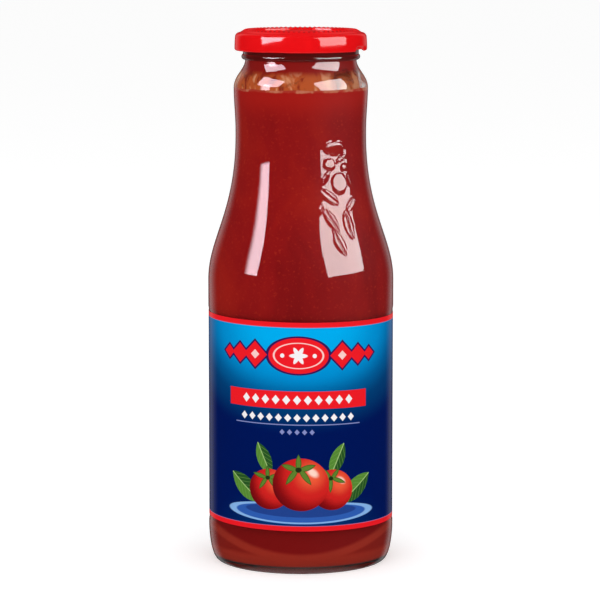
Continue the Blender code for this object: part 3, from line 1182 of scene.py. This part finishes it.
def make_lights(glass, lid):
    """Softboxes that glass and lid mirror on either side, and a high soft key that they don't.

    Glass and lid mirror different cards on the left, so each card there shines on one of them alone.
    """
    right_softbox = make_light("right_softbox", azimuths=(29.0, 89.0), lifts=(4.2, 48.5), radiance=11.5)
    left_strip = make_light("left_strip", azimuths=(-76.0, -53.5), lifts=(2.7, 35.0), radiance=16.0,
                            soft=STRIP_SOFT)
    neck_card = make_light("neck_card", azimuths=(-80.0, -34.0), lifts=(16.0, 46.0), radiance=13.0,
                           reach=NECK_CARD_REACH, middle_z=NECK_CARD_MIDDLE_Z)
    lid_card = make_light("lid_card", azimuths=(-76.0, -32.0), lifts=(7.0, 46.0), radiance=24.0,
                          lean_deg=LID_CARD_LEAN)
    for light in (right_softbox, left_strip, neck_card, lid_card):
        light.visible_diffuse = False
        light.visible_camera = False
        light.visible_transmission = False
    for light in (left_strip, neck_card, lid_card):
        light.data.color = PINK
    only_on(left_strip, glass)
    only_on(neck_card, glass)
    only_on(lid_card, lid)
    key = make_light("high_key", azimuths=(-40.0, 40.0), lifts=(30.0, 80.0), radiance=KEY_RADIANCE,
                     reach=KEY_REACH)
    key.visible_glossy = False


# The studio as it is mirrored, by azimuths in degrees and the height of a direction from -1 to 1
WORLD_DIFFUSE = 0.75
MIRRORED_FRONT = 0.02
MIRRORED_SIDE = 0.46
MIRRORED_BACK = 0.12
MIRRORED_TABLE = 1.0
LEFT_SIDE_BEGINS = (-126.0, -153.0)
RIGHT_SIDE_BEGINS = (130.0, 156.0)
BACK_ENDS = (167.0, 153.0)
TABLE_BEGINS = (-0.65, -0.95)


def make_world():
    """White to the eye; mirrored in the glass it is a studio, dark in front and pale behind."""
    world = bpy.data.worlds.new("studio")
    bpy.context.scene.world = world
    world.use_nodes = True
    world.cycles.sampling_method = "NONE"
    tree = world.node_tree
    background = tree.nodes["Background"]
    coords = tree.nodes.new("ShaderNodeTexCoord")
    split = tree.nodes.new("ShaderNodeSeparateXYZ")
    tree.links.new(coords.outputs["Generated"], split.inputs[0])
    x, y, z = (Num(tree, output) for output in split.outputs)
    signed = x.op("ARCTAN2", y * -1.0) * (180.0 / math.pi)
    left = signed.ramp(*LEFT_SIDE_BEGINS, MIRRORED_FRONT, MIRRORED_SIDE)
    right = signed.ramp(*RIGHT_SIDE_BEGINS, MIRRORED_FRONT, MIRRORED_SIDE)
    sides = left.high(right) * abs(signed).ramp(*BACK_ENDS, MIRRORED_BACK, 1.0)
    mirrored = sides.high(z.ramp(*TABLE_BEGINS, 0.0, MIRRORED_TABLE))
    rays = tree.nodes.new("ShaderNodeLightPath")
    glossy = Num(tree, rays.outputs["Is Glossy Ray"])
    diffuse = Num(tree, rays.outputs["Is Diffuse Ray"])
    plain = (diffuse * (WORLD_DIFFUSE - 1.0)) + 1.0
    strength = plain * (glossy * -1.0 + 1.0) + mirrored * glossy
    tree.links.new(strength.socket, background.inputs["Strength"])
    background.inputs["Color"].default_value = (1.0, 1.0, 1.0, 1.0)
    bpy.context.scene.view_settings.view_transform = "Standard"


FLOOR_R = 14.0
FLOOR_GLOW = 0.14
FLOOR_GLOW_SEEN = 0.27


def make_floor():
    """A plain pale floor, which the bottle doesn't mirror."""
    shape = bmesh.new()
    bmesh.ops.create_circle(shape, cap_ends=True, segments=96, radius=FLOOR_R)
    mesh = bpy.data.meshes.new("floor")
    shape.to_mesh(mesh)
    shape.free()
    floor = bpy.data.objects.new("floor", mesh)
    bpy.context.scene.collection.objects.link(floor)
    material, tree, shader = new_material("pale_floor", (0.93, 0.93, 0.93, 1.0), {
        "Roughness": 1.0,
        "Specular IOR Level": 0.0,
        "Emission Color": (1.0, 1.0, 1.0, 1.0),
    })
    seen = Num(tree, tree.nodes.new("ShaderNodeLightPath").outputs["Is Camera Ray"])
    glow = seen.ramp(0.0, 1.0, FLOOR_GLOW, FLOOR_GLOW_SEEN, "LINEAR")
    tree.links.new(glow.socket, shader.inputs["Emission Strength"])
    mesh.materials.append(material)
    floor.visible_glossy = False


make_camera()
make_world()
make_floor()
make_fill(passata_material())
make_smear(smear_material())
make_label(label_material())
make_lights(make_glass(glass_material()), make_lid(lacquer_material()))
